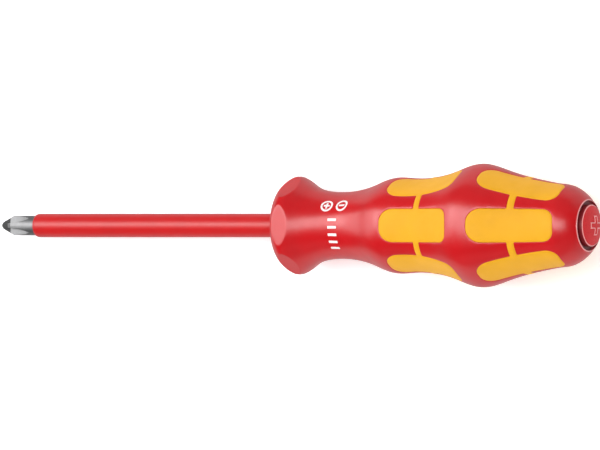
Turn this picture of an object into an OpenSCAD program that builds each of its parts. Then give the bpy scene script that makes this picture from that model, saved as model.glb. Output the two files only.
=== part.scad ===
// Insulated (VDE type) screwdriver with a cross-recess tip, lying along X.
// The origin is on the tool axis at the handle's flat nose face. The blade runs
// towards -X, the handle towards +X, and one of the six grip faces points to +Z.

/* [Blade] */
// Length of the blade from the nose face to the point
blade_length = 100; // [75:1:150]
// Diameter of the bare steel at the tip
blade_d = 6; // [5.5:0.1:6.4]
// How much thinner the steel's radius is inside the insulation and the handle
neck_step = 0.6; // [0.4:0.05:1]
// Length of bare steel in front of the insulation
bare_length = 12; // [11:0.5:20]
// Half angle of the tip's cone
tip_cone_angle = 26.5; // [24:0.5:30]
// Diameter of the blunt point
tip_point_d = 2.3; // [1.8:0.1:2.6]
// Distance from the axis to a flute's root, at the point
flute_root_r = 0.65; // [0.5:0.05:1]
// Angle between the two walls of a flute
flute_angle = 92; // [88:1:96]
// Slope of a flute's root
flute_slope = 5.75; // [4:0.25:8]
// Length of a flute before its run-out
flute_straight = 5; // [3:0.1:5.5]
// Radius of the cutter that leaves a flute's run-out
flute_cutter_r = 12; // [8:0.5:13]
// Depth that the steel reaches into the handle
tang_length = 58; // [50:1:65]
// How far the two wings that stop the steel turning stand out
wing_height = 1.9; // [1:0.1:2.2]
// Thickness of the wings
wing_t = 1.8; // [1.2:0.1:2.4]
// Length of the wings
wing_length = 14; // [8:1:16]
// Distance from the nose face to the middle of the wings
wing_x = 42; // [36:1:44]

/* [Insulation] */
// How far the insulation stands out over the bare steel
sleeve_step = 0.6; // [0.4:0.05:0.9]
// Length of the rounding at the insulation's front edge
sleeve_edge_length = 1.2; // [0.6:0.1:2]
// How much thicker the insulation's root is, where it enters the handle
root_step = 0.2; // [0.16:0.02:0.3]
// Length of the flare that leads to the root, in front of the nose face
root_flare = 0.4; // [0.2:0.05:1]
// Height of the collars that lock the insulation in the handle
collar_height = 0.7; // [0.4:0.05:1.2]
// Length of a collar
collar_length = 3; // [2:0.5:4]
// Depth that the insulation reaches into the handle
anchor_length = 15; // [13:0.5:18]

/* [Handle] */
// Length of the handle
handle_length = 105; // [102:1:130]
// Radius of the slip guard behind the nose face
guard_r = 15; // [14.2:0.1:17]
// Depth of the rounding between the nose face and the guard
nose_round = 2.6; // [2.2:0.1:3.4]
// Depth of the six anti-roll flats on the guard
guard_flat_depth = 1.5; // [1:0.05:1.9]
// Radius of the waist behind the guard
waist_r = 10.1; // [9.5:0.1:11]
// Radius of the bulge at the front grip
bulge_r = 14.55; // [13.8:0.05:16]
// Radius of the saddle in the front grip
saddle_r = 14.2; // [13.6:0.05:15.5]
// Radius of the belly, the widest part
belly_r = 18.65; // [17.6:0.05:20]
// Radius of the tail where the dome starts
tail_r = 11.95; // [11.5:0.05:12.6]
// Distance from the axis to a grip face, as a share of the ridge radius
face_share = 0.965; // [0.89:0.005:0.98]

/* [Grip pads] */
// Width of a soft pad
pad_w = 10.6; // [8:0.1:10.8]
// Depth of the soft pads
pad_t = 1.8; // [1:0.1:2.2]
// Distance from the nose face to the front pads
front_pad_x = 38.2; // [36:0.1:39]
// Length of a front pad
front_pad_length = 24.3; // [18:0.1:26]
// Distance from the nose face to the rear pads
rear_pad_x = 69.8; // [68:0.1:72]
// Length of a rear pad
rear_pad_length = 26.6; // [18:0.1:27]
// Corner radius at the front end of a pad
pad_front_corner_r = 4.6; // [3:0.1:5]
// Corner radius at the rear end of a front pad
front_pad_rear_corner_r = 2.4; // [1.5:0.1:4]
// Corner radius at the rear end of a rear pad
rear_pad_rear_corner_r = 3.6; // [1.5:0.1:4]
// Distance from a front pad's front end to the middle of its web
front_web_offset = 12.5; // [10:0.5:15]
// Width of the soft webs that join the front pads
front_web_w = 2; // [1.4:0.1:3]
// Distance from a rear pad's front end to the middle of its web
rear_web_offset = 13; // [10:0.5:15]
// Width of the soft webs that join the rear pads
rear_web_w = 2.2; // [1.4:0.1:3.5]
// Depth of the webs under the grip faces
web_t = 1.2; // [0.8:0.1:1.5]

/* [Core and end cap] */
// Thickness of the red shell between a pad and the core
floor_t = 1.6; // [1:0.1:2]
// Thickness of the red shell behind the core, in front of the end cap
rear_wall = 3.4; // [2:0.1:5]
// Radius of the end cap
cap_r = 6.3; // [5.5:0.1:7]
// Thickness of the end cap at its edge
cap_edge_t = 2; // [1.5:0.1:2.6]
// Width of the ring groove round the end cap
groove_w = 1.25; // [0.8:0.05:1.6]
// Depth of the ring groove under the dome
groove_depth = 0.8; // [0.4:0.1:1.2]
// Diameter of the peg that fixes the cap in the core
peg_d = 6; // [4:0.2:8]
// Depth that the peg reaches into the core
peg_grip = 3; // [2:0.5:6]
// Length of the raised cross on the cap
cross_span = 6; // [3:0.1:7]
// Width of a bar of the cross
cross_bar_w = 2; // [1:0.1:2.4]
// Width of the raised line that draws the cross
cross_line_w = 0.45; // [0.3:0.05:0.6]
// Height of the raised line
cross_height = 0.2; // [0.1:0.02:0.4]

/* [Neck print] */
// Distance from the nose face to the middle of the print
print_x = 20; // [18.5:0.5:22]
// Thickness of the print
print_t = 0.1; // [0.08:0.02:0.2]
// Outer radius of the two round signs
sign_r = 2; // [1.6:0.1:2.2]
// Width of the printed lines
line_w = 0.6; // [0.4:0.05:0.8]
// Angle of the round signs from the middle of the upper grip face
sign_angle = 36; // [30:1:45]
// Number of printed bars in the row beside the signs
bar_count = 5; // [2:1:6]
// Angle between two bars
bar_pitch = 13; // [8:1:14]
// Angle of the first bar from the middle of the upper grip face
first_bar_angle = 10; // [4:1:14]
// Length of a printed bar
bar_length = 3; // [2:0.1:4]
// Width of a printed bar
bar_w = 0.8; // [0.5:0.05:1.2]

/* [Hidden] */
$fn = 96;
FACES = 6;              // grip faces round the handle
FLUTES = 4;             // flutes in the tip
COLLARS = 2;            // locking collars on the insulation
BIG = 40;               // reaches past the handle all round
STATION_STEP = 2.5;     // spacing of the rings that shape the handle
FLUTE_DEPTH = 4;        // depth of the flute cutter, more than a flute needs

blade_r = blade_d / 2;
neck_r = blade_r - neck_step;
sleeve_r = blade_r + sleeve_step;
root_r = sleeve_r + root_step;
collar_r = sleeve_r + collar_height;
peg_r = peg_d / 2;
nose_face_r = guard_r - nose_round;
guard_flat_r = guard_r - guard_flat_depth;
tip_x = -blade_length;
sleeve_x = tip_x + bare_length;
point_chamfer = 0.45;
cone_length = (blade_r - tip_point_d / 2) / tan(tip_cone_angle);
first_collar_x = 2;
tang_chamfer = 0.8;

// Ridge line of the handle: stations of [distance from the nose, radius, slope].
guard_x = 3.7;
guard_end_x = 7;
waist_x = 18.4;
rear_x = handle_length - 13;
tail_x = handle_length - 8;
ridge = [
    [0.9, nose_face_r + 1.05, 1],
    [guard_x, guard_r, 0],
    [guard_end_x, guard_r - 2, -0.6],
    [11, waist_r + 0.9, -0.28],
    [waist_x, waist_r, 0],
    [31.5, (waist_r + bulge_r) / 2 + 0.4, 0.42],
    [38.4, bulge_r, 0],
    [45.4, saddle_r, 0],
    [60, belly_r - 1.65, 0.39],
    [66.7, belly_r, 0],
    [73.5, belly_r - 1.55, -0.33],
    [84, saddle_r + 0.05, -0.2],
    [rear_x, tail_r + 0.8, -0.155],
    [tail_x, tail_r, -0.38]
];

// Distance of a face from the axis as a share of the ridge radius, along the handle.
// Above 1 there is no face: the handle is round behind the guard and at the dome.
share = [
    [guard_end_x, 1.03],
    [12, 1],
    [waist_x, (1 + face_share) / 2],
    [30, face_share],
    [rear_x - 4, face_share],
    [tail_x + 1, 1.03]
];

// The dome is part of a sphere through the end of the handle and the tail ring.
dome_x = (pow(handle_length, 2) - pow(tail_x, 2) - pow(tail_r, 2))
         / (2 * (handle_length - tail_x));
dome_r = handle_length - dome_x;
groove_r = cap_r + groove_w;
cap_seat_x = dome_x + sqrt(pow(dome_r, 2) - pow(cap_r, 2)) - cap_edge_t;
groove_x = dome_x + sqrt(pow(dome_r, 2) - pow(groove_r, 2)) - groove_depth;
core_end_x = cap_seat_x - rear_wall;

// Cubic curve through two stations with their slopes.
function hermite(a, b, x) =
    let (h = b[0] - a[0], t = (x - a[0]) / h)
    a[1] * (1 - 3 * t * t + 2 * t * t * t) + a[2] * h * (t - 2 * t * t + t * t * t)
    + b[1] * (3 * t * t - 2 * t * t * t) + b[2] * h * (t * t * t - t * t);
function span_of(x, i = 0) =
    (i >= len(ridge) - 2 || x <= ridge[i + 1][0]) ? i : span_of(x, i + 1);
function ridge_r(x) = let (i = span_of(x)) hermite(ridge[i], ridge[i + 1], x);
function face_r(x) =
    x <= guard_end_x ? guard_flat_r : ridge_r(min(x, tail_x + 1)) * lookup(x, share);
function core_r(x) = face_r(x) - pad_t - floor_t;

stations = [for (x = [guard_end_x - 2 * STATION_STEP : STATION_STEP : tail_x - 1]) x];
function stations_in(x0, x1) = [for (x = stations) if (x > x0 && x < x1) x];
// The stations around a stretch, with a spare one at each end.
function stations_round(x0, x1) = stations_in(x0 - STATION_STEP * 1.5, x1 + STATION_STEP * 1.5);
// The faces bend halfway between the rings.
function face_stations(xs) = [for (x = xs) if (x > guard_end_x) x + STATION_STEP / 2];

// Turns an outline of [distance along the axis, radius] points round the tool axis.
module turned(outline) {
    rotate([0, 90, 0]) rotate_extrude() polygon([for (p = outline) [p[1], p[0]]]);
}

module rod(x0, x1, r) {
    translate([x0, 0, 0]) rotate([0, 90, 0]) cylinder(h = x1 - x0, r = r);
}

module round_the_axis(count, start = 0) {
    for (i = [0 : count - 1]) rotate([start + i * 360 / count, 0, 0]) children();
}

// Extrudes an outline in X and Z across the whole width of the handle.
module across(outline) {
    rotate([90, 0, 0]) linear_extrude(2 * BIG, center = true) polygon(outline);
}

// Cuts the six faces on a turned body.
module faced(xs, skin = 0) {
    top = [for (x = xs) [x, face_r(x) + skin]];
    under = [for (i = [len(xs) - 1 : -1 : 0]) [xs[i], -face_r(xs[i]) - skin]];
    intersection() {
        children();
        across(concat(top, under));
        rotate([360 / FACES, 0, 0]) across(concat(top, under));
        rotate([2 * 360 / FACES, 0, 0]) across(concat(top, under));
    }
}

// A stretch of the handle's outer form, with a skin added all round.
module form_round(x0, x1, skin = 0) {
    xs = stations_round(x0, x1);
    ends = [xs[0], xs[len(xs) - 1]];
    faced(face_stations(xs), skin)
        turned(concat([[ends[0], 0]], [for (x = xs) [x, ridge_r(x) + skin]], [[ends[1], 0]]));
}

// The whole outer form of the handle.
module handle_form() {
    nose = [[0, 0], [0, nose_face_r], [0.28, nose_face_r + 0.5], [ridge[0][0], ridge[0][1]]];
    body = concat(nose, [for (x = stations) [x, ridge_r(x)]], [[tail_x, tail_r], [tail_x, 0]]);
    faced(concat([-1, guard_end_x], face_stations(stations), [handle_length + 1]))
        rotate([0, 90, 0]) rotate_extrude() {
            polygon([for (p = body) [p[1], p[0]]]);
            intersection() {
                translate([0, dome_x]) circle(dome_r);
                translate([0, tail_x]) square(BIG);
            }
        }
}

// Steel blade: cross-recess tip, round shank, neck inside the insulation and winged tang.
module flute_cutter() {
    half_w = FLUTE_DEPTH * tan(flute_angle / 2);
    translate([tip_x, 0, flute_root_r]) rotate([0, -flute_slope, 0]) {
        translate([-1, 0, 0]) rotate([90, 0, 90]) linear_extrude(flute_straight + 1)
            polygon([[0, 0], [half_w, FLUTE_DEPTH], [-half_w, FLUTE_DEPTH]]);
        translate([flute_straight, 0, flute_cutter_r]) rotate([90, 0, 0]) rotate_extrude()
            polygon([[flute_cutter_r, 0], [flute_cutter_r - FLUTE_DEPTH, half_w],
                     [flute_cutter_r - FLUTE_DEPTH, -half_w]]);
    }
}

module tang() {
    turned([[sleeve_x, 0], [sleeve_x, neck_r], [tang_length - tang_chamfer, neck_r],
            [tang_length, neck_r - tang_chamfer], [tang_length, 0]]);
    translate([wing_x, 0, 0]) cube([wing_length, 2 * (neck_r + wing_height), wing_t], center = true);
}

module blade() {
    color("silver") {
        difference() {
            turned([[tip_x, 0], [tip_x, tip_point_d / 2 - point_chamfer],
                    [tip_x + point_chamfer, tip_point_d / 2],
                    [tip_x + point_chamfer + cone_length, blade_r],
                    [sleeve_x, blade_r], [sleeve_x, 0]]);
            round_the_axis(FLUTES, 45) flute_cutter();
        }
        tang();
    }
}

// Insulation moulded on the blade, with a flared root at the nose face and its locking
// collars inside the handle.
module insulation_form() {
    edge = [for (a = [0 : 15 : 90])
        [sleeve_x + sleeve_edge_length * (1 - cos(a)), blade_r + (sleeve_r - blade_r) * sin(a)]];
    root = [[-root_flare, sleeve_r], [0, root_r]];
    collars = [for (i = [0 : COLLARS - 1], p = [[0, root_r], [0, collar_r],
                    [collar_length, collar_r], [collar_length, root_r]])
        [first_collar_x + 2 * i * collar_length + p[0], p[1]]];
    end = [[anchor_length, root_r], [anchor_length, 0]];
    turned(concat([[sleeve_x, 0]], edge, root, collars, end));
}

module blade_insulation() {
    color("red") difference() {
        insulation_form();
        rod(sleeve_x - 1, anchor_length + 1, neck_r);
    }
}

// Hard core moulded on the tang.
module core_form() {
    xs = stations_in(anchor_length + 1, core_end_x - 1);
    turned(concat([[anchor_length, 0], [anchor_length, core_r(anchor_length)]],
                  [for (x = xs) [x, core_r(x)]],
                  [[core_end_x, core_r(core_end_x)], [core_end_x, 0]]));
}

module peg() {
    rod(core_end_x - peg_grip, cap_seat_x + 1, peg_r);
}

module handle_core() {
    color("dimgray") difference() {
        core_form();
        tang();
        peg();
    }
}

// Soft grips: six pads in a row, flush with the faces and joined by thin webs.
module pad_outline(length, front_r, rear_r) {
    half_w = pad_w / 2;
    translate([front_r, -half_w]) square([length - front_r - rear_r, pad_w]);
    for (end = [[front_r, front_r, 0], [length - rear_r, rear_r, length - rear_r]]) {
        translate([end[2], end[1] - half_w]) square([end[1], pad_w - 2 * end[1]]);
        for (side = [-1, 1]) translate([end[0], side * (half_w - end[1])]) circle(end[1]);
    }
}

// The room that a row of pads and its webs take up, open towards the outside.
module grip_space(x0, length, front_r, rear_r, web_x, web_w) {
    x1 = x0 + length;
    xs = concat([x0 - STATION_STEP], stations_in(x0 - 1, x1 + 1), [x1 + STATION_STEP]);
    floor_line = [for (x = xs) [x, face_r(x) - pad_t]];
    lid = [[x1 + STATION_STEP, BIG], [x0 - STATION_STEP, BIG]];
    round_the_axis(FACES) intersection() {
        translate([x0, 0, 0]) linear_extrude(BIG) pad_outline(length, front_r, rear_r);
        across(concat(floor_line, lid));
    }
    difference() {
        rod(web_x - web_w / 2, web_x + web_w / 2, BIG);
        rod(web_x - web_w, web_x + web_w, face_r(web_x) - web_t);
    }
}

module front_grip_space() {
    grip_space(front_pad_x, front_pad_length, pad_front_corner_r, front_pad_rear_corner_r,
               front_pad_x + front_web_offset, front_web_w);
}

module rear_grip_space() {
    grip_space(rear_pad_x, rear_pad_length, pad_front_corner_r, rear_pad_rear_corner_r,
               rear_pad_x + rear_web_offset, rear_web_w);
}

module front_grip_pads() {
    color("gold") intersection() {
        handle_form();
        front_grip_space();
    }
}

module rear_grip_pads() {
    color("gold") intersection() {
        handle_form();
        rear_grip_space();
    }
}

// Red outer shell, with room for all that it holds.
module handle_shell() {
    color("red") difference() {
        handle_form();
        front_grip_space();
        rear_grip_space();
        core_form();
        insulation_form();
        peg();
        rod(cap_seat_x, handle_length + 1, cap_r);
        rod(groove_x, handle_length + 1, groove_r);
    }
}

// End cap in the dome, with a raised cross that tells the kind of tip.
module dome_ball(r) {
    translate([dome_x, 0, 0]) rotate([0, 0, 180]) sphere(r);
}

module cross_bars(inset) {
    span = cross_span - 2 * inset;
    bar_w = cross_bar_w - 2 * inset;
    square([span, bar_w], center = true);
    square([bar_w, span], center = true);
}

module end_cap() {
    color("red") {
        intersection() {
            dome_ball(dome_r);
            rod(cap_seat_x, handle_length + 1, cap_r);
        }
        peg();
        intersection() {
            dome_ball(dome_r + cross_height);
            translate([cap_seat_x + 1, 0, 0]) rotate([0, 90, 0]) linear_extrude(BIG)
                difference() {
                    cross_bars(0);
                    cross_bars(cross_line_w);
                }
        }
    }
}

// Print on the neck: two round signs, one with a cross and one with a slot, and a row of bars.
module sign_ring() {
    difference() {
        circle(sign_r);
        circle(sign_r - line_w);
    }
    square([sign_r, line_w], center = true);
}

module printed_at(angle) {
    translate([print_x, 0, 0]) rotate([-angle, 0, 0]) linear_extrude(BIG) children();
}

module print_prisms() {
    printed_at(sign_angle) {
        translate([-sign_r - line_w, 0]) {
            sign_ring();
            square([line_w, sign_r], center = true);
        }
        translate([sign_r + line_w, 0]) sign_ring();
    }
    for (i = [0 : bar_count - 1])
        printed_at(first_bar_angle - i * bar_pitch) square([bar_length, bar_w], center = true);
}

module neck_print() {
    half_l = 2 * sign_r + line_w;
    color("white") intersection() {
        difference() {
            form_round(print_x - half_l, print_x + half_l, print_t);
            form_round(print_x - half_l, print_x + half_l);
        }
        print_prisms();
    }
}

blade();
blade_insulation();
handle_core();
handle_shell();
front_grip_pads();
rear_grip_pads();
end_cap();
neck_print();
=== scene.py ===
"""Looks of the insulated screwdriver.

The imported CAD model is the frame: +X runs along the tool from the point to the butt, the origin
is the centre of the handle's nose face, and one grip face points to +Z. Outlines are worked out
in millimetres and become metres when a mesh is made.

The handle is one smooth form, radius = form_r(x, angle). A half sector of it, from the middle of
a grip face to the next ridge, is unrolled, cut along the outlines of the pads and webs,
triangulated, and then mirrored and turned six times round the axis.
"""
import math

import bmesh
import bpy
import numpy as np
from mathutils import Matrix, Vector
from mathutils.geometry import delaunay_2d_cdt


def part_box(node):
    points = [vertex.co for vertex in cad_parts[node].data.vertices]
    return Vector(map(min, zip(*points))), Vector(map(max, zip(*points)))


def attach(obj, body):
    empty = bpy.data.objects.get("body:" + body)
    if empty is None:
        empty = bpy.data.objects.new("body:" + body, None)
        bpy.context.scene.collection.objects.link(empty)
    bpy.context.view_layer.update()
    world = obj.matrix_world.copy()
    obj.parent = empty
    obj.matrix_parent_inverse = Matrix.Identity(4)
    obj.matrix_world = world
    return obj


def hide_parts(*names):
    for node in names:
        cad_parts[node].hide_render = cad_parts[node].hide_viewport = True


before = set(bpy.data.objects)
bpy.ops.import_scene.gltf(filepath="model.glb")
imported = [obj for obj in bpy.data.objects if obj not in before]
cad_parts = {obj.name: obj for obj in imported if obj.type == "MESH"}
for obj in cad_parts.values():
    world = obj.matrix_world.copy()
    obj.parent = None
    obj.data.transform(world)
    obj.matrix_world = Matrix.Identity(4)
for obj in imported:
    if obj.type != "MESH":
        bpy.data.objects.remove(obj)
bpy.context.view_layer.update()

MM = 0.001

# ---------------------------------------------------------------- sizes taken from the frame


def span_mm(node, axis=0):
    """Lowest and highest place of a CAD node along an axis, in mm."""
    low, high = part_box(node)
    return low[axis] / MM, high[axis] / MM


TIP_X = span_mm("blade")[0]
SLEEVE_X, ANCHOR_X = span_mm("blade_insulation")
CORE_X0, CORE_X1 = span_mm("handle_core")
FRONT_PAD = span_mm("front_grip_pads")
REAR_PAD = span_mm("rear_grip_pads")
PRINT_X = sum(span_mm("neck_print")) / 2
HANDLE_END = 105.0
BELLY_X, BELLY_R = 66.7, 18.65
PAD_W = 10.6
PAD_T = 1.8
FLOOR_T = 1.6
FRONT_WEB = (50.7, 2.0)     # middle and width
REAR_WEB = (82.8, 2.2)
GUARD_FLAT_R = 13.5
GUARD_REST_X = 1.0
SHANK_R = 3.0
SLEEVE_R = 3.6
ROOT_R = 3.8
ROOT_FLARE = 0.4
NECK_BORE_R = 2.42
COLLAR_R = 4.3
COLLARS = ((2.0, 5.0), (8.0, 11.0))
CAP_R = 6.3
GROOVE_R = 7.55
CAP_SEAT_X = 101.36
GROOVE_X = 101.77
PEG_R = 3.0
PEG_X = 94.96

# ---------------------------------------------------------------- the handle's outer form

# Stations along the ridges: distance from the nose, radius, slope.
RIDGE = (
    (0.9, 13.45, 1.0),
    (3.7, 15.0, 0.0),
    (7.0, 13.0, -0.6),
    (11.0, 11.0, -0.28),
    (18.4, 10.1, 0.0),
    (31.5, 12.72, 0.42),
    (38.4, 14.55, 0.0),
    (45.4, 14.2, 0.0),
    (60.0, 17.0, 0.39),
    (BELLY_X, BELLY_R, 0.0),
    (73.5, 17.1, -0.33),
    (84.0, 14.25, -0.2),
    (92.0, 12.75, -0.155),
    (97.0, 11.95, -0.41),
)
TAIL_X, TAIL_R = RIDGE[-1][:2]
DOME_X = (HANDLE_END**2 - TAIL_X**2 - TAIL_R**2) / (2 * (HANDLE_END - TAIL_X))
DOME_R = HANDLE_END - DOME_X

# How flat the six faces are, along the handle: 4 is round, 16 is a rounded hexagon.
FLATNESS = ((7, 4), (12, 4.3), (18.4, 5.1), (30, 6.2), (88, 6.2), (97.5, 4))


def raw_ridge(x):
    """Cubic curves through the stations, and the dome's sphere beyond them."""
    x = np.atleast_1d(np.asarray(x, float))
    out = np.sqrt(np.maximum(DOME_R**2 - np.clip(x - DOME_X, 0, DOME_R) ** 2, 0))
    for (xa, ra, sa), (xb, rb, sb) in zip(RIDGE, RIDGE[1:]):
        here = (x >= xa) & (x <= xb) if xa > RIDGE[0][0] else x <= xb
        h = xb - xa
        t = (x[here] - xa) / h
        out[here] = (ra * (1 - 3 * t**2 + 2 * t**3) + sa * h * (t - 2 * t**2 + t**3)
                     + rb * (3 * t**2 - 2 * t**3) + sb * h * (t**3 - t**2))
    return out


FINE_X = np.arange(0.0, HANDLE_END, 0.1)
BLUR = np.exp(-0.5 * (np.arange(-24, 25) * 0.1 / 0.8) ** 2)
FINE_R = np.convolve(np.pad(raw_ridge(FINE_X), 24, "edge"), BLUR / BLUR.sum(), "valid")
BLEND_IN, BLEND_OUT = (0.9, 3.5), (92.0, 97.0)


def ridge_r(x):
    """Radius of the ridges, with the joints between the cubic curves smoothed."""
    x = np.asarray(x, float)
    weight = np.interp(x, (*BLEND_IN, *BLEND_OUT), (0, 1, 1, 0))
    return weight * np.interp(x, FINE_X, FINE_R) + (1 - weight) * raw_ridge(x).reshape(x.shape)


def hexagon(angle, power):
    """Radius of a rounded hexagon whose ridges, at 30 degrees, have radius 1."""
    def total(a):
        return sum(np.abs(np.cos(a - k * math.pi / 3)) ** power for k in range(3))
    return (total(angle) / total(math.pi / 6 + 0 * angle)) ** (-1 / power)


def soft_min(a, b, width):
    """The smaller of two lengths, with the crease between them rounded."""
    return np.minimum(a, b) - np.maximum(width - np.abs(a - b), 0) ** 2 / (4 * width)


def form_r(x, angle):
    """Radius of the handle's skin. The angle is 0 in the middle of a grip face."""
    x, angle = np.asarray(x, float), np.asarray(angle, float)
    power = np.interp(x, *zip(*FLATNESS))
    r = ridge_r(x) * hexagon(angle, power)
    flat = GUARD_FLAT_R / np.cos(angle)
    return np.where(x < 7.5, soft_min(r, flat, 0.12), r)


def face_r(x):
    return form_r(x, 0 * np.asarray(x, float))


def core_r(x):
    return face_r(x) - PAD_T - FLOOR_T


# ---------------------------------------------------------------- mesh helpers

SEGMENTS = 144
TURN = np.arange(SEGMENTS) * 2 * math.pi / SEGMENTS
SECTOR = math.pi / 6


def place(x, r, angle):
    """Points at a distance along the axis, a radius and an angle from +Z."""
    x, r, angle = np.broadcast_arrays(x, r, angle)
    return np.stack([x, r * np.sin(angle), r * np.cos(angle)], -1)


class Build:
    """Collects points in mm and faces, and makes one welded object of them."""

    def __init__(self):
        self.points, self.faces, self.count = [], [], 0

    def add(self, points, faces):
        points = np.asarray(points, float).reshape(-1, 3)
        self.points.append(points)
        self.faces += [tuple(int(i) + self.count for i in f) for f in faces]
        self.count += len(points)

    def loft(self, rings, close_last=False):
        """Joins rings of SEGMENTS points. Each ring is (x, radius or radii)."""
        n = SEGMENTS
        points = np.concatenate([place(x, r, TURN) for x, r in rings])
        faces = [(i * n + j, i * n + (j + 1) % n, (i + 1) * n + (j + 1) % n, (i + 1) * n + j)
                 for i in range(len(rings) - 1) for j in range(n)]
        self.add(points, faces)
        if close_last:
            x, r = rings[-1]
            fan = np.concatenate([place(x, r, TURN), [[x, 0, 0]]])
            self.add(fan, [(j, (j + 1) % n, n) for j in range(n)])

    def make(self, name, material, sharp=40):
        bm = bmesh.new()
        verts = [bm.verts.new(p) for p in np.concatenate(self.points) * MM]
        for f in self.faces:
            if len(set(f)) == len(f) and not bm.faces.get([verts[i] for i in f]):
                bm.faces.new([verts[i] for i in f])
        bmesh.ops.remove_doubles(bm, verts=bm.verts, dist=2e-6)
        bmesh.ops.dissolve_degenerate(bm, edges=bm.edges, dist=1e-7)
        bmesh.ops.recalc_face_normals(bm, faces=bm.faces)
        mesh = bpy.data.meshes.new(name)
        bm.to_mesh(mesh)
        bm.free()
        mesh.shade_smooth()
        mesh.set_sharp_from_angle(angle=math.radians(sharp))
        mesh.materials.append(material)
        obj = bpy.data.objects.new(name, mesh)
        bpy.context.scene.collection.objects.link(obj)
        return obj


def rounded_path(corners, step=0.3):
    """A path through corners (x, y, radius), with its corners rounded and points added."""
    pts = [np.array(c[:2], float) for c in corners]
    out = [pts[0]]
    for a, b, c, (_, _, radius) in zip(pts, pts[1:], pts[2:], corners[1:-1]):
        u, v = (a - b) / np.linalg.norm(a - b), (c - b) / np.linalg.norm(c - b)
        half = math.acos(max(-1.0, min(1.0, float(u @ v)))) / 2
        if radius <= 0 or half > math.pi / 2 - 1e-3:
            out.append(b)
            continue
        centre = b + (u + v) / np.linalg.norm(u + v) * radius / math.sin(half)
        start = b + u * radius / math.tan(half) - centre
        sweep = math.pi - 2 * half
        sign = -1 if u[0] * v[1] - u[1] * v[0] > 0 else 1
        arc = max(3, int(math.ceil(sweep * max(radius, 1) / step)))
        for k in range(arc + 1):
            t = sign * sweep * k / arc
            turn = np.array([[math.cos(t), -math.sin(t)], [math.sin(t), math.cos(t)]])
            out.append(centre + turn @ start)
    out.append(pts[-1])
    dense = [out[0]]
    for a, b in zip(out, out[1:]):
        n = max(1, int(round(np.linalg.norm(b - a) / step)))
        dense += [a + (b - a) * k / n for k in range(1, n + 1)]
    return np.array(dense)


def shifted(path, distance):
    """The path moved sideways, to its left where the distance is positive."""
    before = np.vstack([2 * path[0] - path[1], path[:-1]])
    after = np.vstack([path[1:], 2 * path[-1] - path[-2]])
    a, b = path - before, after - path
    a /= np.linalg.norm(a, axis=1)[:, None]
    b /= np.linalg.norm(b, axis=1)[:, None]
    normal = np.stack([-(a + b)[:, 1], (a + b)[:, 0]], 1)
    normal /= np.linalg.norm(normal, axis=1)[:, None]
    mitre = np.maximum(0.5, np.sum(normal * np.stack([-a[:, 1], a[:, 0]], 1), 1))
    return path + normal * (distance / mitre)[:, None]


def distance_to(points, path):
    """Distance of each point from a path, and on which side: positive to its left."""
    a, b = path[:-1], path[1:]
    d = b - a
    rel = points[:, None, :] - a[None]
    t = np.clip((rel * d).sum(-1) / (d * d).sum(-1), 0, 1)
    gap = rel - t[..., None] * d
    far = np.linalg.norm(gap, axis=-1)
    i = far.argmin(1)
    rows = np.arange(len(points))
    side = d[i, 0] * rel[rows, i, 1] - d[i, 1] * rel[rows, i, 0]
    return far[rows, i] * np.where(side >= 0, 1, -1)


def triangulate(paths, extra, clear=0.3, keep=None):
    """Triangles of the plane that follow the paths, with extra points at least clear away."""
    near = np.concatenate(paths)
    far = np.array([np.min(np.sum((near - p) ** 2, 1)) for p in extra]) > clear**2
    extra = extra[far]
    verts, edges = [], []
    for path in paths:
        edges += [(len(verts) + i, len(verts) + i + 1) for i in range(len(path) - 1)]
        verts += [tuple(p) for p in path]
    verts += [tuple(p) for p in extra]
    out = delaunay_2d_cdt([Vector(v) for v in verts], edges, [], 0, 1e-6)
    points = np.array([tuple(p) for p in out[0]])
    tris = [tuple(f) for f in out[2] if len(f) == 3]
    if keep is not None:
        inside = keep(np.array([points[list(f)].mean(0) for f in tris]))
        tris = [f for f, k in zip(tris, inside) if k]
    return points, tris


def lattice(x0, x1, y0, y1, step):
    """Evenly spaced points, every other row set off by half a step."""
    rows = int((y1 - y0) / (step * 0.866))
    out = []
    for j in range(1, rows):
        xs = np.arange(x0 + step * (0.5 + 0.5 * (j % 2)), x1 - step * 0.3, step)
        out.append(np.stack([xs, np.full(len(xs), y0 + (y1 - y0) * j / rows)], 1))
    return np.concatenate(out)


def rim_edges(tris):
    """Edges that only one triangle has, in that triangle's direction."""
    seen = {}
    for f in tris:
        for e in zip(f, f[1:] + f[:1]):
            key = frozenset(e)
            seen[key] = None if key in seen else e
    return [e for e in seen.values() if e]


# ---------------------------------------------------------------- the cut-out pattern

UNROLL = 15.0                      # mm of the unrolled plane for each radian
EDGE_V = UNROLL * SECTOR            # the ridge between two faces
START_X, END_X = 0.9, 98.0
GRID = 0.6
LIP, GAP, PAD_ROUND = 0.16, 0.04, 0.45
LIP_DROP, PAD_PROUD = 0.10, 0.06


def unrolled(path):
    """From lengths on a flat grip face to the unrolled plane."""
    angle = np.arctan2(path[:, 1], face_r(path[:, 0]))
    return np.stack([path[:, 0], UNROLL * np.minimum(angle, SECTOR)], 1)


def row_paths(pad, web, rear_radius, end_bulge):
    """The two outlines of a row of pads in a half sector: ahead of the web and behind it.

    Each starts or ends on the ridge, and the red side is on its left.
    """
    (x0, x1), (web_x, web_w), half = pad, web, PAD_W / 2
    front_x, back_x = web_x - web_w / 2, web_x + web_w / 2
    beyond = 11.0                  # past the ridge, and cut back to it
    front = rounded_path([(x0, 0, 0), (x0, half, 4.5), (front_x, half, 0.35),
                          (front_x, beyond, 0)])
    back = rounded_path([(back_x, beyond, 0), (back_x, half, 0.35),
                         (x1 - end_bulge, half, rear_radius), (x1, half * 0.3, 6),
                         (x1, 0, 0)])
    return front, back


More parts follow.
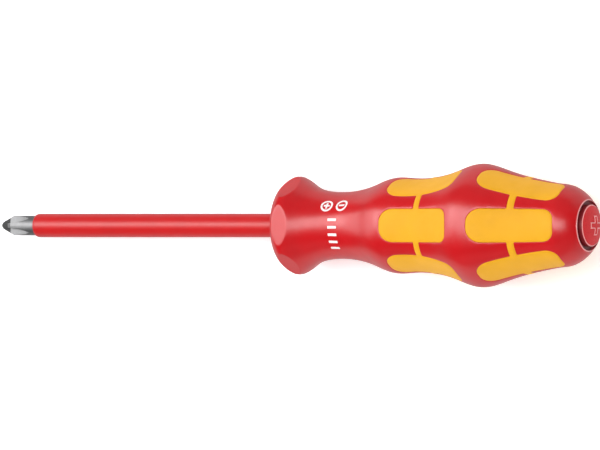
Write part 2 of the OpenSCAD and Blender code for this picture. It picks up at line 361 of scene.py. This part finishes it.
def cut_to_ridge(path):
    """The unrolled path with the points past the ridge taken off and its end put on it."""
    flat = unrolled(path)
    below = flat[:, 1] < EDGE_V - 0.12
    flat = flat[below]
    if flat[0, 1] > EDGE_V / 2:
        return np.vstack([[flat[0, 0], EDGE_V], flat])
    return np.vstack([flat, [flat[-1, 0], EDGE_V]])


def offsets(path, steps):
    return [cut_to_ridge(shifted(path, s)) for s in steps]


ROWS = {
    "front": row_paths(FRONT_PAD, FRONT_WEB, 2.4, 0.35),
    "rear": row_paths(REAR_PAD, REAR_WEB, 3.6, 0.3),
}
RED_SIDE = (LIP, LIP / 2, 0.0)
PAD_SIDE = (-GAP, -GAP - PAD_ROUND * 0.3, -GAP - PAD_ROUND)


def guard_lens():
    """Outline of an anti-roll flat on the guard, with a line close to it on each side.

    A line that is still open at the nose edge stops there, because no point may lie ahead of it.
    """
    beside, tip = 0.1, 0.04        # how far off the other lines are, and how far their tips reach
    xs = np.linspace(START_X + 0.02, 6.6, 90)
    out = []
    for apothem in (GUARD_FLAT_R - beside, GUARD_FLAT_R, GUARD_FLAT_R + beside):
        inside = xs[ridge_r(xs) > apothem + 0.01]
        v = UNROLL * np.arccos(apothem / ridge_r(inside))
        line = np.stack([inside, v], 1)
        front = [[inside[0] - tip, 0]] if inside[0] > xs[0] else np.empty((0, 2))
        out.append(np.vstack([front, line, [[inside[-1] + tip, 0]]]))
    return out


def half_sector():
    """The unrolled half sector: its points and triangles."""
    cuts = {}
    for name, paths in ROWS.items():
        cuts[name] = [line for p in paths for line in offsets(p, RED_SIDE + PAD_SIDE)]
    steps = np.arange(START_X, END_X + GRID / 2, GRID)
    steps[-1] = END_X
    lines = [line for group in cuts.values() for line in group] + guard_lens()
    on_face = np.sort(np.concatenate([line[line[:, 1] < 1e-6, 0] for line in lines]))
    on_ridge = np.sort(np.concatenate([line[line[:, 1] > EDGE_V - 1e-6, 0] for line in lines]))

    def border(v, fixed):
        free = [x for x in steps[1:-1] if np.abs(fixed - x).min() > GRID * 0.4]
        xs = np.unique(np.concatenate([[START_X, END_X], fixed, free]))
        return np.stack([xs, np.full(len(xs), v)], 1)

    ends = np.linspace(0, EDGE_V, int(SEGMENTS / 12) + 1)
    paths = [border(0.0, on_face), border(EDGE_V, on_ridge),
             np.stack([np.full(len(ends), START_X), ends], 1),
             np.stack([np.full(len(ends), END_X), ends], 1)] + lines
    inner = lattice(START_X, END_X, 0, EDGE_V, GRID)
    return triangulate(paths, inner, clear=0.26)


def pad_depth(points):
    """How far each point is outside the pads (positive, red) or inside them, and which row."""
    depth = np.full(len(points), 99.0)
    row = np.full(len(points), -1)
    for i, paths in enumerate(ROWS.values()):
        front, back = (cut_to_ridge(p) for p in paths)
        d_front, d_back = distance_to(points, front), distance_to(points, back)
        inside = (d_front < 0) & (d_back < 0)
        d = np.where(inside, np.maximum(d_front, d_back),
                     np.where(d_front >= 0, d_front, d_back))
        nearer = np.abs(d) < np.abs(depth)
        depth[nearer], row[nearer] = d[nearer], i
    return depth, row


PLANE, TRIS = half_sector()
CENTRES = np.array([PLANE[list(f)].mean(0) for f in TRIS])
DEPTH, _ = pad_depth(PLANE)
TRI_DEPTH, TRI_ROW = pad_depth(CENTRES)
SKIN = form_r(PLANE[:, 0], PLANE[:, 1] / UNROLL)


def add_all_round(build, radii, faces):
    """Adds a half sector, its mirror image and their five copies."""
    used = sorted({i for f in faces for i in f})
    index = {v: k for k, v in enumerate(used)}
    local = [[index[i] for i in f] for f in faces]
    x, angle = PLANE[used, 0], PLANE[used, 1] / UNROLL
    for k in range(6):
        for side in (1, -1):
            build.add(place(x, radii[used], side * angle + k * math.pi / 3), local)


def add_walls(build, top, bottom, faces):
    """Walls between two heights along the rim of some triangles, but not on the sector's own edges."""
    for a, b in rim_edges(faces):
        v = PLANE[[a, b], 1]
        if v.max() < 1e-6 or v.min() > EDGE_V - 1e-6:
            continue
        if np.ptp(PLANE[[a, b], 0]) < 1e-6 and PLANE[a, 0] in (START_X, END_X):
            continue
        for k in range(6):
            for side in (1, -1):
                x = PLANE[[a, b, b, a], 0]
                r = np.array([top[a], top[b], bottom[b], bottom[a]])
                angle = side * PLANE[[a, b, b, a], 1] / UNROLL + k * math.pi / 3
                build.add(place(x, r, angle), [(0, 1, 2, 3)])


# ---------------------------------------------------------------- materials

# The beads beside the groove in the dome, and the sign on the cap.
RIM_W, RIM_H = 0.36, 0.14
CROSS_SPAN, CROSS_BAR, CROSS_LINE, CROSS_H = 6.0, 2.0, 0.45, 0.2
PAINTED_HIGHLIGHT_RED = (0.86, 0.36, 0.36)       # raised edges painted pale pink, a painted highlight
GROOVE_RED = (0.20, 0.008, 0.012)   # the groove's shaded depth


class Nodes:
    """A material's node tree, with short ways to add nodes and join them."""

    def __init__(self, name):
        self.material = bpy.data.materials.new(name)
        self.material.use_nodes = True
        self.tree = self.material.node_tree
        self.shader = self.tree.nodes["Principled BSDF"]
        self.coords = self.tree.nodes.new("ShaderNodeTexCoord").outputs["Object"]

    def set(self, **values):
        for key, value in values.items():
            self.shader.inputs[key.replace("_", " ")].default_value = value

    def node(self, kind, links=None, **settings):
        node = self.tree.nodes.new("ShaderNode" + kind)
        for key, value in settings.items():
            if hasattr(node, key):
                setattr(node, key, value)
            else:
                node.inputs[key.replace("_", " ")].default_value = value
        for socket, source in (links or {}).items():
            self.tree.links.new(source, node.inputs[socket])
        return node

    def noise(self, scale, detail=3.0, roughness=0.55, coords=None):
        node = self.node("TexNoise", {"Vector": coords or self.coords}, Scale=scale,
                         Detail=detail, Roughness=roughness)
        return node.outputs["Fac"]

    def ramp(self, source, low, high, out_low=0.0, out_high=1.0):
        node = self.node("MapRange", {"Value": source}, clamp=True)
        for key, value in (("From Min", low), ("From Max", high),
                           ("To Min", out_low), ("To Max", out_high)):
            node.inputs[key].default_value = value
        return node.outputs["Result"]

    def math(self, operation, a, b=0.0):
        node = self.node("Math", operation=operation)
        for socket, value in zip(node.inputs, (a, b)):
            if isinstance(value, (int, float)):
                socket.default_value = value
            else:
                self.tree.links.new(value, socket)
        return node.outputs[0]

    def mix(self, factor, a, b):
        node = self.node("Mix", data_type="RGBA")
        for name, value in (("Factor_Float", factor), ("A_Color", a), ("B_Color", b)):
            socket = next(s for s in node.inputs if s.identifier == name)
            if isinstance(value, (int, float)):
                socket.default_value = value
            elif isinstance(value, tuple):
                socket.default_value = (*value, 1.0)
            else:
                self.tree.links.new(value, socket)
        return next(s for s in node.outputs if s.identifier == "Result_Color")

    def bump(self, height, strength, distance_mm, normal=None):
        links = {"Height": height}
        if normal is not None:
            links["Normal"] = normal
        node = self.node("Bump", links, Strength=strength)
        node.inputs["Distance"].default_value = distance_mm * MM
        return node.outputs["Normal"]

    def band(self, value, middle_mm, half_mm, soft_mm=0.08):
        """1 where a length is within half_mm of middle_mm, with soft edges."""
        off = self.math("ABSOLUTE", self.math("SUBTRACT", value, middle_mm * MM))
        return self.ramp(off, half_mm * MM, (half_mm + soft_mm) * MM, 1.0, 0.0)

    def from_axis(self):
        """Place along the tool, and distance from its axis."""
        across = self.node("VectorMath", {0: self.coords}, operation="MULTIPLY")
        across.inputs[1].default_value = (0, 1, 1)
        radius = self.node("VectorMath", {0: across.outputs["Vector"]}, operation="LENGTH")
        x = self.node("SeparateXYZ", {"Vector": self.coords}).outputs["X"]
        return x, radius.outputs["Value"]

    def out(self, **sockets):
        for key, value in sockets.items():
            self.tree.links.new(value, self.shader.inputs[key.replace("_", " ")])
        return self.material


def red_plastic(name, tint=(0.60, 0.003, 0.007), duller=0.0):
    """Semi-gloss moulded red plastic with a fine eroded grain and a faint flow mottle."""
    m = Nodes(name)
    m.set(IOR=1.53, Coat_Weight=0.5, Coat_IOR=1.55, Coat_Roughness=0.26 + duller)
    mottle = m.noise(90, 4, 0.6)
    dark = tuple(c * 0.90 for c in tint)
    colour = m.mix(m.ramp(mottle, 0.3, 0.7), dark, tint)
    x, radius = m.from_axis()
    on_dome = m.ramp(x, (GROOVE_X - 0.3) * MM, (GROOVE_X - 0.2) * MM)
    # The groove in the dome is painted dark red, a painted shade.
    groove = m.band(radius, (CAP_R + GROOVE_R) / 2, (GROOVE_R - CAP_R) / 2 - 0.06)
    bead = m.band(radius, GROOVE_R + RIM_W / 2, RIM_W / 4)
    colour = m.mix(m.math("MULTIPLY", groove, on_dome), colour, GROOVE_RED)
    # The bead beside the groove is painted pale pink, a painted highlight.
    colour = m.mix(m.math("MULTIPLY", bead, on_dome), colour, PAINTED_HIGHLIGHT_RED)
    fine = m.noise(5200, 2, 0.6)
    rough = m.ramp(m.noise(260, 3), 0.3, 0.7, 0.31 + duller, 0.38 + duller)
    normal = m.bump(fine, 0.05, 0.02)
    return m.out(Base_Color=colour, Roughness=rough, Normal=normal)


def soft_yellow(name):
    """Matte soft rubber with a fine leather-like grain and a dull sheen."""
    m = Nodes(name)
    m.set(IOR=1.42, Sheen_Weight=0.04, Sheen_Roughness=0.5)
    colour = m.mix(m.ramp(m.noise(120, 4, 0.6), 0.3, 0.7),
                   (0.78, 0.37, 0.005), (0.84, 0.41, 0.008))
    cells = m.node("TexVoronoi", {"Vector": m.coords}, Scale=2600.0)
    pebble = m.bump(cells.outputs["Distance"], 0.10, 0.03)
    normal = m.bump(m.noise(4200, 2), 0.12, 0.02, pebble)
    rough = m.ramp(m.noise(300, 3), 0.3, 0.7, 0.58, 0.68)
    return m.out(Base_Color=colour, Roughness=rough, Normal=normal)


def blade_steel():
    """Satin plated steel with turning marks, and a dark etched point with a ragged border."""
    m = Nodes("blade_steel")
    m.set(IOR=2.2)
    split = m.node("SeparateXYZ", {"Vector": m.coords})
    x = split.outputs["X"]
    ragged = m.math("MULTIPLY", m.math("SUBTRACT", m.noise(1500, 4, 0.7), 0.5), 0.0008)
    border = m.math("ADD", x, ragged)
    point = m.ramp(border, (TIP_X + 2.8) * MM, (TIP_X + 3.1) * MM, 1.0, 0.0)
    squash = m.node("Mapping", {"Vector": m.coords})
    squash.inputs["Scale"].default_value = (9.0, 1.0, 1.0)
    marks = m.noise(900, 3, 0.6, squash.outputs["Vector"])
    speck = m.noise(2600, 3, 0.65)
    steel = m.mix(m.ramp(marks, 0.3, 0.7), (0.31, 0.31, 0.315), (0.41, 0.41, 0.415))
    etched = m.mix(m.ramp(speck, 0.35, 0.65), (0.045, 0.045, 0.047), (0.11, 0.11, 0.112))
    colour = m.mix(point, steel, etched)
    metal = m.math("SUBTRACT", 1.0, m.math("MULTIPLY", point, 0.45))
    steel_rough = m.ramp(marks, 0.3, 0.7, 0.52, 0.60)
    rough = m.math("ADD", steel_rough, m.math("MULTIPLY", point, 0.3))
    coarse = m.math("MULTIPLY", speck, point)
    normal = m.bump(coarse, 0.5, 0.06, m.bump(marks, 0.08, 0.01))
    return m.out(Base_Color=colour, Metallic=metal, Roughness=rough, Normal=normal)


def core_plastic():
    """Plain dark moulded plastic for the core."""
    m = Nodes("core_plastic")
    colour = m.mix(m.ramp(m.noise(150, 3), 0.3, 0.7), (0.028, 0.028, 0.03), (0.045, 0.045, 0.047))
    normal = m.bump(m.noise(3000, 2), 0.1, 0.03)
    return m.out(Base_Color=colour, Roughness=m.ramp(m.noise(200, 3), 0.3, 0.7, 0.5, 0.62),
                 Normal=normal)


def cap_red():
    """The cap's red, with the small eroded pits of a textured mould face."""
    m = Nodes("cap_red")
    m.set(IOR=1.46)
    pits = m.node("TexVoronoi", {"Vector": m.coords}, Scale=2300.0)
    depth = m.ramp(pits.outputs["Distance"], 0.05, 0.45)
    # Pit bottoms are painted darker red, a painted shade in the recesses.
    colour = m.mix(depth, (0.52, 0.008, 0.012), (0.68, 0.014, 0.02))
    x, radius = m.from_axis()
    split = m.node("SeparateXYZ", {"Vector": m.coords})
    y, z = (m.math("ABSOLUTE", split.outputs[axis]) for axis in "YZ")
    arm = m.math("SUBTRACT", m.math("MAXIMUM", y, z), CROSS_SPAN / 2 * MM)
    side = m.math("SUBTRACT", m.math("MINIMUM", y, z), CROSS_BAR / 2 * MM)
    sign = m.band(m.math("MAXIMUM", arm, side), -CROSS_LINE / 2, CROSS_LINE / 4)
    bead = m.band(radius, CAP_R - RIM_W / 2, RIM_W / 4)
    on_dome = m.ramp(x, (GROOVE_X + 0.3) * MM, (GROOVE_X + 0.4) * MM)
    line = m.math("MULTIPLY", m.math("MAXIMUM", sign, bead), on_dome)
    # The raised cross outline and the rim bead are painted pale pink, a painted highlight.
    colour = m.mix(line, colour, PAINTED_HIGHLIGHT_RED)
    # The cap's side wall down in the groove is painted dark red, a painted shade.
    wall = m.ramp(radius, (CAP_R - 0.04) * MM, (CAP_R - 0.01) * MM)
    colour = m.mix(wall, colour, GROOVE_RED)
    normal = m.bump(depth, 0.35, 0.05, m.bump(m.noise(5200, 2), 0.15, 0.02))
    rough = m.ramp(m.noise(260, 3), 0.3, 0.7, 0.42, 0.52)
    return m.out(Base_Color=colour, Roughness=rough, Normal=normal)


def white_ink():
    """Printed white ink, slightly uneven where the pad laid it down."""
    m = Nodes("white_ink")
    m.set(IOR=1.45)
    colour = m.mix(m.ramp(m.noise(800, 4, 0.65), 0.3, 0.7), (0.83, 0.80, 0.80), (0.93, 0.92, 0.92))
    normal = m.bump(m.noise(3500, 3), 0.1, 0.02)
    return m.out(Base_Color=colour, Roughness=m.ramp(m.noise(900, 3), 0.3, 0.7, 0.4, 0.55),
                 Normal=normal)


def pale_floor():
    """Plain matte paper for the floor."""
    m = Nodes("pale_floor")
    m.set(Specular_IOR_Level=0.0, Emission_Strength=0.42, Emission_Color=(1, 1, 1, 1))
    colour = m.mix(m.ramp(m.noise(8, 3), 0.3, 0.7), (0.90, 0.90, 0.90), (0.915, 0.915, 0.915))
    return m.out(Base_Color=colour, Roughness=m.ramp(m.noise(60, 2), 0.3, 0.7, 0.85, 0.95))


# ---------------------------------------------------------------- pieces


def settle(piece, node):
    """The piece rides on the tool, and the CAD node it takes the place of is hidden."""
    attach(piece, "root")
    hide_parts(node)
    return piece


def red_height(depth):
    """Lip of the red skin beside a pad."""
    t = np.clip(depth / LIP, 0, 1)
    return -LIP_DROP * (1 - t) ** 2


def pad_height(depth):
    """Rounded rim of a pad, and how far the pad stands proud."""
    t = np.clip((-depth - GAP) / PAD_ROUND, 0, 1)
    return PAD_PROUD - (PAD_PROUD + LIP_DROP) * (1 - t) ** 2


def inner_chain():
    """Rings from the nose edge through the inside of the shell to the dome's rim."""
    edge = form_r(np.full(SEGMENTS, START_X), (TURN + SECTOR) % (2 * SECTOR) - SECTOR)
    nose = [(START_X, edge), (0.62, edge * 0.9835), (0.36, edge * 0.9655), (0.16, edge * 0.947),
            (0.04, edge * 0.931), (0.0, edge * 0.915), (0.0, 8.0)]
    bore = [(0.0, ROOT_R + 0.14), (0.12, ROOT_R + 0.02)]
    for x0, x1 in COLLARS:
        bore += [(x0, ROOT_R + 0.02), (x0, COLLAR_R + 0.02), (x1, COLLAR_R + 0.02),
                 (x1, ROOT_R + 0.02)]
    bore += [(CORE_X0, ROOT_R + 0.02)]
    xs = np.linspace(CORE_X0, CORE_X1, 40)
    cavity = [(float(x), float(core_r(x)) + 0.02) for x in xs]
    seat = [(CORE_X1, PEG_R + 0.02), (CAP_SEAT_X, PEG_R + 0.02), (CAP_SEAT_X, CAP_R + 0.03),
            (GROOVE_X, CAP_R + 0.03), (GROOVE_X, GROOVE_R - 0.1), (GROOVE_X + 0.1, GROOVE_R)]
    return nose + bore + cavity + seat + groove_rim(GROOVE_R, 1) + dome_rings()


def dome_at(r):
    """Place along the axis of the dome's surface at a radius."""
    return DOME_X + math.sqrt(DOME_R**2 - r**2)


def groove_rim(r, side):
    """The raised bead along a rim of the groove, from the groove outwards."""
    out = []
    for t in (0.0, 0.12, 0.3, 0.5, 0.7, 0.88, 1.0):
        here = r + side * RIM_W * t
        out.append((dome_at(here) + RIM_H * math.sin(math.pi * t) ** 0.6, here))
    return out


def dome_rings():
    """The dome from the bead to where the unrolled part starts."""
    a0 = math.asin((GROOVE_R + RIM_W) / DOME_R)
    a1 = math.acos((END_X - DOME_X) / DOME_R)
    angles = np.linspace(a0, a1, 16)[1:]
    rings = [(DOME_X + DOME_R * math.cos(a), DOME_R * math.sin(a)) for a in angles]
    return rings[:-1] + [(END_X, float(ridge_r(END_X)))]


def make_shell(material):
    build = Build()
    red = [f for f, d in zip(TRIS, TRI_DEPTH) if d > 0]
    pockets = [f for f, d in zip(TRIS, TRI_DEPTH) if d <= 0]
    top = SKIN + red_height(np.maximum(DEPTH, 0))
    floor = SKIN - PAD_T - 0.03
    add_all_round(build, top, red)
    add_all_round(build, floor, pockets)
    add_walls(build, top, floor, pockets)
    build.loft(inner_chain())
    return build.make("shell_skin", material, 35)


def make_pads(name, row, material):
    build = Build()
    mine = [f for f, d, r in zip(TRIS, TRI_DEPTH, TRI_ROW) if d < -GAP and r == row]
    top = SKIN + pad_height(np.minimum(DEPTH, -GAP))
    bottom = SKIN - PAD_T
    add_all_round(build, top, mine)
    add_all_round(build, bottom, mine)
    add_walls(build, top, bottom, mine)
    return build.make(name, material, 50)


def make_sleeve(material):
    """The blade's insulation with its rounded front edge and locking collars."""
    build = Build()
    rings = [(SLEEVE_X, NECK_BORE_R), (SLEEVE_X, SHANK_R)]
    edge_l, edge_h = 1.2, SLEEVE_R - SHANK_R
    for a in np.radians(np.arange(10, 91, 10)):
        rings.append((SLEEVE_X + edge_l * (1 - math.cos(a)), SHANK_R + edge_h * math.sin(a)))
    rings += [(x, SLEEVE_R) for x in np.linspace(SLEEVE_X + 4, -ROOT_FLARE, 24)]
    rings += [(-ROOT_FLARE * (1 - t), SLEEVE_R + (ROOT_R - SLEEVE_R) * t**2)
              for t in (0.35, 0.6, 0.8, 1.0)]
    for x0, x1 in COLLARS:
        rings += [(x0, ROOT_R), (x0, COLLAR_R), (x1, COLLAR_R), (x1, ROOT_R)]
    rings += [(ANCHOR_X, ROOT_R), (ANCHOR_X, NECK_BORE_R)]
    rings += [(x, NECK_BORE_R) for x in np.linspace(ANCHOR_X, SLEEVE_X, 12)[1:]]
    build.loft(rings)
    return build.make("sleeve_skin", material, 50)


def cross_outline(inset):
    """A closed cross with its corners rounded, drawn anticlockwise."""
    a, b = CROSS_SPAN / 2 - inset, CROSS_BAR / 2 - inset
    quarter = [(a, -b), (a, b), (b, b)]
    corners = []
    for k in range(4):
        c, s = round(math.cos(k * math.pi / 2)), round(math.sin(k * math.pi / 2))
        corners += [(c * x - s * y, s * x + c * y, 0.25) for x, y in quarter]
    start = ((corners[0][0] + corners[1][0]) / 2, (corners[0][1] + corners[1][1]) / 2, 0)
    path = rounded_path([start] + corners[1:] + [corners[0], start], 0.25)
    return path


def make_cap(material):
    """The domed cap with its rim bead, a raised outlined cross, and its peg."""
    disc_r = CAP_R - RIM_W
    circle = np.stack([disc_r * np.sin(TURN), disc_r * np.cos(TURN)], 1)
    circle = np.vstack([circle, circle[:1]])
    bands = [cross_outline(i) for i in (0, CROSS_LINE * 0.25, CROSS_LINE * 0.75, CROSS_LINE)]
    inner = lattice(-disc_r, disc_r, -disc_r, disc_r, 0.35)
    inner = inner[np.hypot(*inner.T) < disc_r - 0.2]
    points, tris = triangulate([circle] + bands, inner, clear=0.13,
                               keep=lambda c: np.hypot(*c.T) < disc_r)
    middle = cross_outline(CROSS_LINE / 2)
    off = np.abs(distance_to(points, middle)) / (CROSS_LINE / 2)
    raised = CROSS_H * np.clip((1 - off) * 2, 0, 1) ** 0.7
    r = np.hypot(*points.T)
    x = DOME_X + np.sqrt(DOME_R**2 - r**2) + np.where(off < 1, raised, 0)
    build = Build()
    build.add(np.stack([x, points[:, 0], points[:, 1]], 1), tris)
    rim = groove_rim(CAP_R, -1)
    chain = rim[::-1] + [(GROOVE_X, CAP_R), (CAP_SEAT_X, CAP_R), (CAP_SEAT_X, PEG_R),
                         (PEG_X, PEG_R)]
    build.loft(chain, close_last=True)
    return build.make("cap_face", material, 45)


# ---------------------------------------------------------------- the print on the neck

SIGN_R, SIGN_LINE = 2.0, 0.6
SIGN_ANGLE = 36.0
BAR_COUNT, BAR_PITCH, FIRST_BAR, BAR_L, BAR_W = 5, 13.0, 10.0, 3.0, 0.8
INK_T = 0.06


def ring_path(radius):
    """A closed circle whose last point is exactly its first."""
    a = np.linspace(0, 2 * math.pi, 49) % (2 * math.pi)
    return np.stack([radius * np.cos(a), radius * np.sin(a)], 1)


def bar_path(length, width):
    """A closed bar with its corners rounded."""
    corners = [(0, -width / 2, 0), (length / 2, -width / 2, 0.12), (length / 2, width / 2, 0.12),
               (-length / 2, width / 2, 0.12), (-length / 2, -width / 2, 0.12), (0, -width / 2, 0)]
    return rounded_path(corners, 0.25)


def inside(points, path):
    """Which points a closed path holds."""
    x, y = points[:, None, 0], points[:, None, 1]
    (ax, ay), (bx, by) = path[:-1].T, path[1:].T
    with np.errstate(divide="ignore", invalid="ignore"):
        cross = ((ay > y) != (by > y)) & (x < (bx - ax) * (y - ay) / (by - ay) + ax)
    return cross.sum(1) % 2 == 1


def print_on(build, shift_x, angle, outer, holes=()):
    """Lays a flat figure of ink on the neck. Its x runs along the tool, its y round the neck."""
    low, high = outer.min(0), outer.max(0)
    extra = lattice(low[0], high[0], low[1] - 0.2, high[1] + 0.2, 0.3)

    def kept(c):
        ok = inside(c, outer)
        for h in holes:
            ok &= ~inside(c, h)
        return ok

    extra = extra[kept(extra)]
    points, tris = triangulate([outer, *holes], extra, clear=0.12, keep=kept)
    x = PRINT_X + shift_x + points[:, 0]
    turn = math.radians(angle) + points[:, 1] / ridge_r(PRINT_X)
    fold = (turn + SECTOR) % (2 * SECTOR) - SECTOR
    skin = form_r(x, fold)
    n = len(points)
    both = np.concatenate([place(x, skin + INK_T, turn), place(x, skin - INK_T, turn)])
    faces = tris + [tuple(i + n for i in f[::-1]) for f in tris]
    faces += [(a, b, b + n, a + n) for a, b in rim_edges(tris)]
    build.add(both, faces)


def make_print(material):
    """Two round signs, a cross and a slot, and a row of plain bars."""
    build = Build()
    apart = SIGN_R + SIGN_LINE
    for side in (-1, 1):
        print_on(build, side * apart, SIGN_ANGLE, ring_path(SIGN_R), [ring_path(SIGN_R - SIGN_LINE)])
    arm, half = SIGN_R / 2, SIGN_LINE / 2
    print_on(build, apart, SIGN_ANGLE, bar_path(SIGN_R, SIGN_LINE))
    plus = []
    for k in range(4):
        c, s = round(math.cos(k * math.pi / 2)), round(math.sin(k * math.pi / 2))
        plus += [(c * x - s * y, s * x + c * y, 0) for x, y in ((arm, -half), (arm, half), (half, half))]
    print_on(build, -apart, SIGN_ANGLE, rounded_path(plus + plus[:1], 0.25))
    for i in range(BAR_COUNT):
        print_on(build, 0, FIRST_BAR - i * BAR_PITCH, bar_path(BAR_L, BAR_W))
    return build.make("neck_signs", material, 40)


# ---------------------------------------------------------------- stage, light and camera

VIEW_TILT = math.radians(29)        # how far the view is turned towards the butt
AIM_X, AIM_Y = 3.6 * MM, 0.15 * MM
VIEW_WIDTH = 181.4 * MM             # what the picture's width shows at the tool's axis
LENS = 1000.0
SENSOR = 36.0
TABLE_GLOW, ROOM_GLOW = 0.5, 0.06
CAMERA_DISTANCE = VIEW_WIDTH * LENS / SENSOR


def toward_camera():
    return Vector((math.sin(VIEW_TILT), 0, math.cos(VIEW_TILT)))


def make_camera():
    data = bpy.data.cameras.new("camera")
    data.sensor_width = SENSOR
    data.lens = LENS
    data.clip_start, data.clip_end = 0.1, 50
    cam = bpy.data.objects.new("camera", data)
    cam.location = Vector((AIM_X, AIM_Y, 0)) + toward_camera() * CAMERA_DISTANCE
    cam.rotation_euler = (0, VIEW_TILT, 0)
    bpy.context.scene.collection.objects.link(cam)
    bpy.context.scene.camera = cam


def make_floor(material):
    """A plain sheet under the tool, which lies on a flat of the guard and on its belly."""
    guard = Vector((GUARD_REST_X * MM, 0, -GUARD_FLAT_R * MM))
    belly = Vector((BELLY_X * MM, 0, -float(face_r(BELLY_X)) * MM))
    along = (belly - guard).normalized()
    size = 6.0
    points = [guard + along * a * size + Vector((0, b * size, 0)) for a, b in
              ((-1, -1), (1, -1), (1, 1), (-1, 1))]
    mesh = bpy.data.meshes.new("floor")
    mesh.from_pydata([tuple(p) for p in points], [], [(0, 1, 2, 3)])
    mesh.materials.append(material)
    floor = bpy.data.objects.new("floor", mesh)
    bpy.context.scene.collection.objects.link(floor)
    return floor


def soft_light(name, direction, distance, size, power, turn=0.0, target=(0.0, 0, 0)):
    """A rectangular soft light that faces the tool, turned about the line to it."""
    data = bpy.data.lights.new(name, "AREA")
    data.shape = "RECTANGLE"
    data.size, data.size_y = size
    data.energy = power
    light = bpy.data.objects.new(name, data)
    towards = Vector(direction).normalized()
    light.location = Vector(target) + towards * distance
    back = towards
    side = Matrix.Rotation(math.radians(turn), 3, back) @ Vector((1, 0, 0))
    side = (side - back * side.dot(back)).normalized()
    up = back.cross(side)
    light.rotation_euler = Matrix((side, up, back)).transposed().to_euler()
    light.visible_camera = False
    bpy.context.scene.collection.objects.link(light)
    return light


def make_world():
    """A dim room, with the glow of the light table below the horizon, fading past the butt."""
    world = bpy.data.worlds.new("studio")
    world.use_nodes = True
    tree = world.node_tree
    coords = tree.nodes.new("ShaderNodeTexCoord")
    split = tree.nodes.new("ShaderNodeSeparateXYZ")
    level = tree.nodes.new("ShaderNodeMapRange")
    for key, value in (("From Min", -0.12), ("From Max", 0.02), ("To Min", TABLE_GLOW),
                       ("To Max", ROOM_GLOW)):
        level.inputs[key].default_value = value
    tree.links.new(coords.outputs["Generated"], split.inputs["Vector"])
    tree.links.new(split.outputs["Z"], level.inputs["Value"])
    fade = tree.nodes.new("ShaderNodeMapRange")
    for key, value in (("From Min", 0.25), ("From Max", 0.8), ("To Min", 1.0), ("To Max", 0.35)):
        fade.inputs[key].default_value = value
    tree.links.new(split.outputs["X"], fade.inputs["Value"])
    glow = tree.nodes.new("ShaderNodeMath")
    glow.operation = "MULTIPLY"
    tree.links.new(level.outputs["Result"], glow.inputs[0])
    tree.links.new(fade.outputs["Result"], glow.inputs[1])
    tree.links.new(glow.outputs[0], tree.nodes["Background"].inputs["Strength"])
    tree.nodes["Background"].inputs["Color"].default_value = (1, 1, 1, 1)
    bpy.context.scene.world = world


def make_light():
    """A long strip over the tool, a card at the blade's end, and a dull fill on each side."""
    soft_light("overhead", (0.02, 0.13, 1), 0.8, (1.7, 0.4), 9.3, turn=-8)
    soft_light("blade_end", (-0.8, 0.12, 0.56), 0.8, (0.5, 0.4), 1.6)
    for name, side, power in (("far", 1, 1.6), ("near", -1, 3.0)):
        fill = soft_light("fill_" + name, (0.15, side, 0.5), 0.8, (1.2, 0.4), power)
        fill.visible_glossy = False


# ---------------------------------------------------------------- the whole scene


def paint_cad(node, material):
    """Gives a CAD node that stays in view its material."""
    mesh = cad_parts[node].data
    mesh.materials.clear()
    mesh.materials.append(material)


make_camera()
floor = make_floor(pale_floor())
floor.visible_glossy = False
make_world()
make_light()
bpy.context.scene.view_settings.view_transform = "Standard"

settle(make_shell(red_plastic("shell_red")), "handle_shell")
settle(make_pads("front_pads", 0, soft_yellow("front_yellow")), "front_grip_pads")
settle(make_pads("rear_pads", 1, soft_yellow("rear_yellow")), "rear_grip_pads")
settle(make_sleeve(red_plastic("sleeve_red", (0.60, 0.004, 0.006), 0.1)), "blade_insulation")
settle(make_cap(cap_red()), "end_cap")
settle(make_print(white_ink()), "neck_print")
paint_cad("blade", blade_steel())
paint_cad("handle_core", core_plastic())
